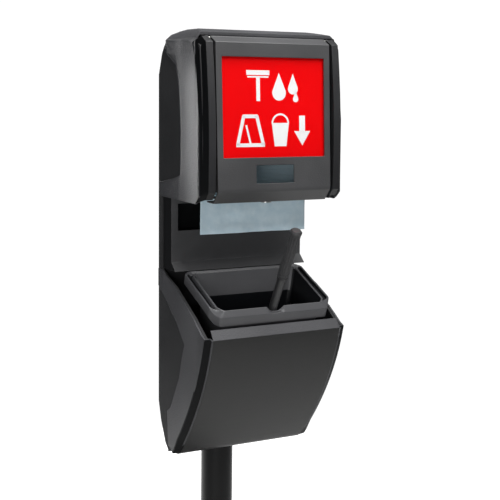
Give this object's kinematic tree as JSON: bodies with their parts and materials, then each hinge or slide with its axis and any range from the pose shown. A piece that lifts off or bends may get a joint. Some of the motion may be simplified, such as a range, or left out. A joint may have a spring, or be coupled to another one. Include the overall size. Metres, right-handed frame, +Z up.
{
  "type": "windshield service station",
  "caption": "Post-mounted windscreen service station: towel dispenser with a top-hinged sign door over a tilted wash bucket and its squeegee.",
  "frame": {"origin": "the post's axis at the underside of its base plate", "axes": "front faces -Y, +Z up along the post, X across the width"},
  "size_m": [0.316, 0.4852, 1.401],
  "materials": {
    "textured_black": "fine leather-grain moulded texture",
    "frame_black": "fine leather-grain moulded texture, satin",
    "gloss_black": "smooth gloss",
    "bucket_black": "satin moulded",
    "sign_red": null,
    "clear_sheet": "clear sheet",
    "black_sheet": "matt",
    "towel": "soft non-woven, pale blue",
    "post_paint": "black powder coat",
    "base_paint": "black powder coat",
    "zinc_steel": "zinc plated",
    "handle_plastic": "satin",
    "grip_rubber": "ribbed, satin",
    "blade_rubber": "matt",
    "sponge": "open mesh over foam"
  },
  "bodies": {
    "housing": {"side_panel_left": "textured_black", "side_panel_right": "textured_black", "back_panel": "textured_black", "throat_panel": "textured_black", "upper_cowl": "textured_black", "towel_tray": "textured_black", "tub_side_left": "textured_black", "tub_side_right": "textured_black", "bucket_seat": "textured_black", "door_frame": "frame_black", "tub_ledge": "frame_black", "tub_front": "gloss_black", "towel_stack": "towel", "hanging_towel": "towel", "post": "post_paint", "post_cap": "post_paint", "post_brackets": "post_paint", "base_plate": "base_paint", "u_bolts": "zinc_steel", "u_bolt_nuts": "zinc_steel", "hinge_pins": "zinc_steel", "housing_screws": "zinc_steel"},
    "door": {"door_shell": "frame_black", "sign_retainer": "black_sheet", "sign_card": "sign_red", "sign_lens": "clear_sheet", "level_window": "clear_sheet", "lock_barrel": "zinc_steel"},
    "lock": {"lock_plug": "zinc_steel", "lock_cam": "zinc_steel"},
    "bucket": {"bucket": "bucket_black"},
    "squeegee": {"squeegee_shaft": "handle_plastic", "squeegee_grip": "grip_rubber", "squeegee_end_cap": "handle_plastic", "squeegee_collar": "handle_plastic", "squeegee_head": "handle_plastic", "squeegee_blade": "blade_rubber", "squeegee_sponge": "sponge"}
  },
  "joints": [
    {"name": "door_hinge", "type": "hinge", "parent": "housing", "child": "door", "pos_m": [0, -0.2095, 1.3817], "axis": [-1, 0, 0], "range_deg": [0, 95]},
    {"name": "lock_turn", "type": "hinge", "parent": "door", "child": "lock", "pos_m": [0, -0.21, 1.08], "axis": [0, 0, -1], "range_deg": [0, 90]},
    {"name": "bucket_lift", "type": "slide", "parent": "housing", "child": "bucket", "axis": [0, -0.2419, 0.9703], "range_m": [0, 0.09]},
    {"name": "squeegee_lift", "type": "slide", "parent": "bucket", "child": "squeegee", "axis": [0, -0.2419, 0.9703], "range_m": [0, 0.17]}
  ]
}
